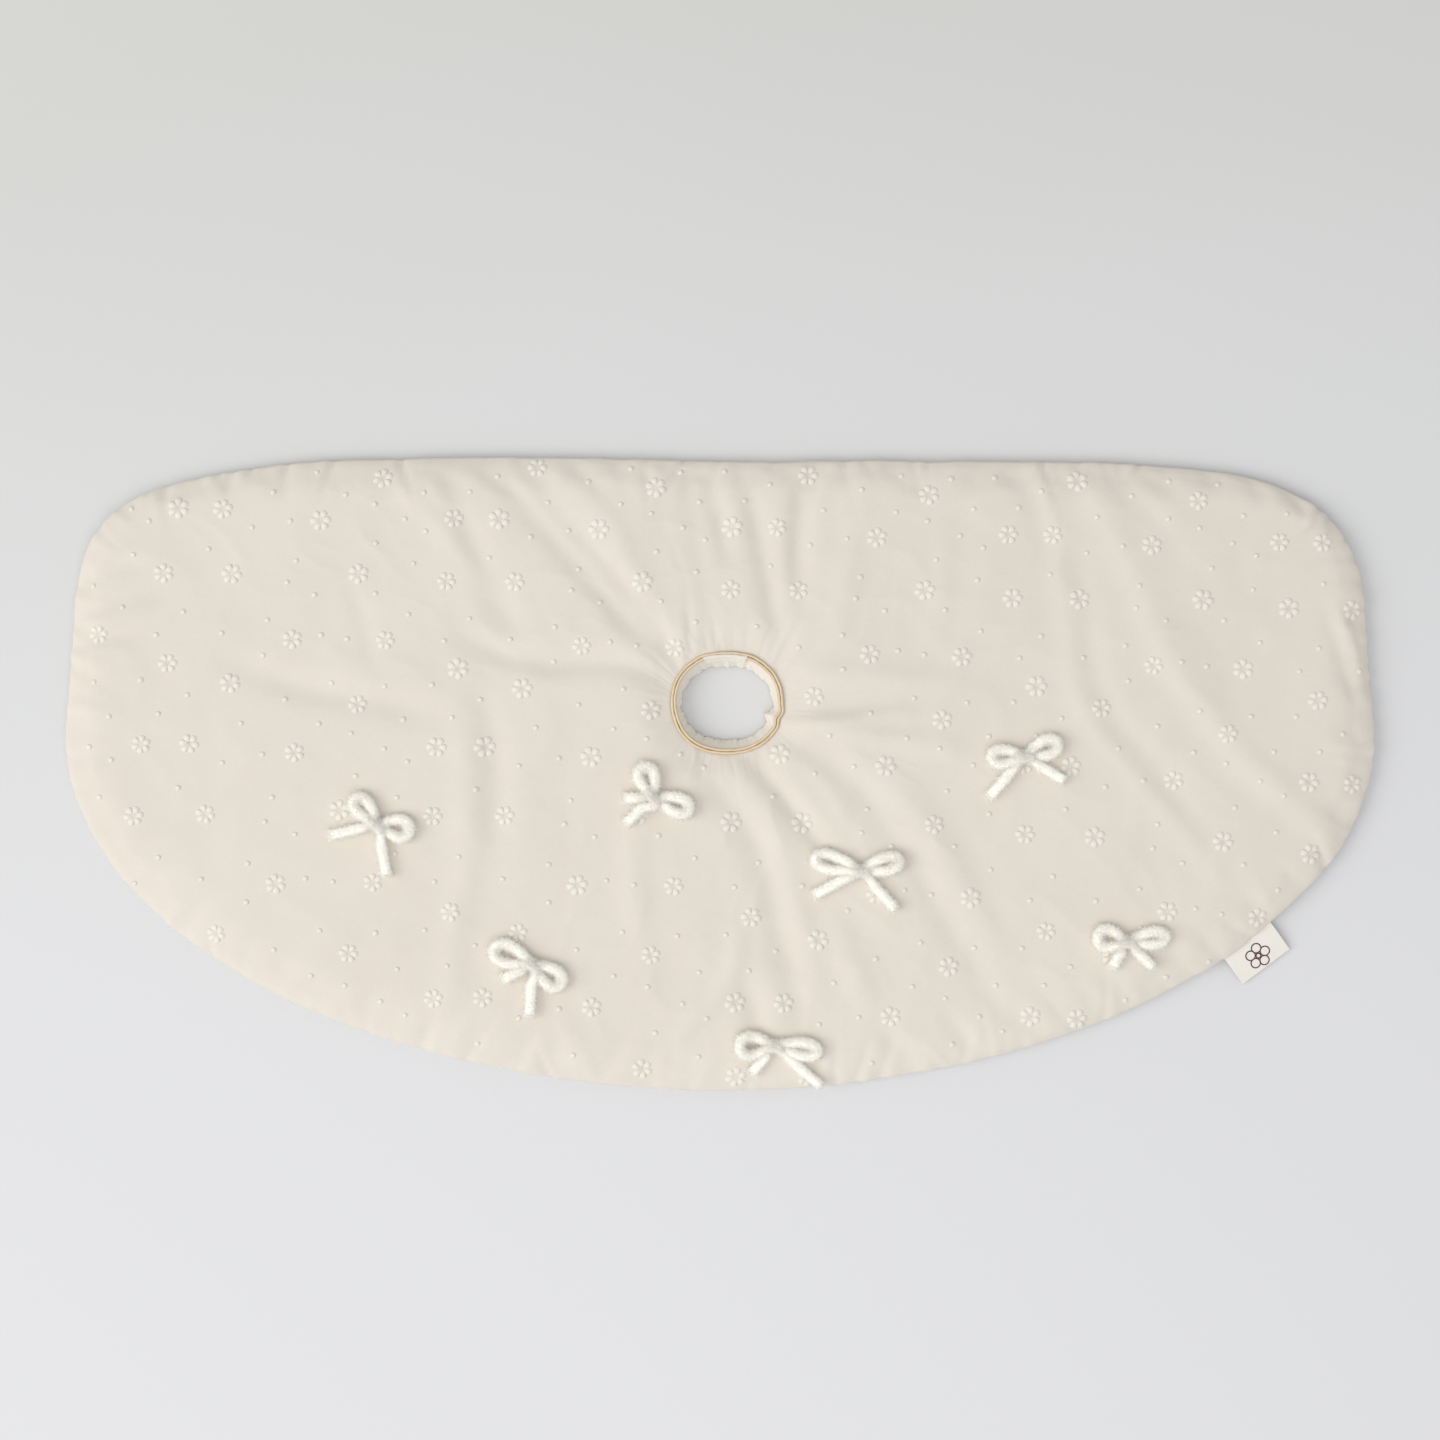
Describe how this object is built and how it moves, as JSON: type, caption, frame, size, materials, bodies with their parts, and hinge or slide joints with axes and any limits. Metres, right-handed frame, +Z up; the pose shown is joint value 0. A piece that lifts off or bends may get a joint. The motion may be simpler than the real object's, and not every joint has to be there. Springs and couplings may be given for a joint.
{
  "type": "padded tree skirt",
  "caption": "Padded half-oval tree skirt with a piped trunk hole, raised flower embroidery, tied fluffy cord bows and a sewn edge label.",
  "frame": {"origin": "middle of the outline's box in plan, on the floor under the backing cloth", "axes": "+X along the long, nearly straight edge; +Y from the deep curved edge towards the straight edge; +Z up from the floor"},
  "size_m": [0.914, 0.44, 0.0234],
  "materials": {
    "embroidered_cotton": "matt cream cotton with raised embroidered flowers and dots",
    "lining_cotton": "matt plain-woven cream lining",
    "facing_cotton": "matt gathered cream cotton",
    "wadding": "soft matt polyester fibre",
    "sewing_thread": "twisted brown thread",
    "tan_satin": "folded tan satin bias tape with a soft sheen",
    "piping_core": "soft cotton string",
    "label_tape": null,
    "chenille_cord": "fluffy off-white chenille pile",
    "silver_thread": "fine silver-grey metallic thread"
  },
  "bodies": {
    "skirt": {"face_cloth": "embroidered_cotton", "wadding": "wadding", "backing_cloth": "lining_cotton", "perimeter_seam_thread": "sewing_thread", "hole_facing": "facing_cotton", "piping_sleeve": "tan_satin", "piping_core_outer": "piping_core", "piping_core_inner": "piping_core", "piping_stitch": "sewing_thread", "piping_join_tab": "facing_cotton", "label_root": "label_tape", "bow_1_cord": "chenille_cord", "bow_1_band": "silver_thread", "bow_2_cord": "chenille_cord", "bow_2_band": "silver_thread", "bow_3_cord": "chenille_cord", "bow_3_band": "silver_thread", "bow_4_cord": "chenille_cord", "bow_4_band": "silver_thread", "bow_5_cord": "chenille_cord", "bow_5_band": "silver_thread", "bow_6_cord": "chenille_cord", "bow_6_band": "silver_thread", "bow_7_cord": "chenille_cord", "bow_7_band": "silver_thread"},
    "label": {"label_flap": "label_tape"}
  },
  "joints": [
    {"name": "label_fold", "type": "hinge", "parent": "skirt", "child": "label", "pos_m": [0.37003, -0.11654, 0.005], "axis": [-0.8025, -0.5966, 0], "range_deg": [0, 95]}
  ]
}
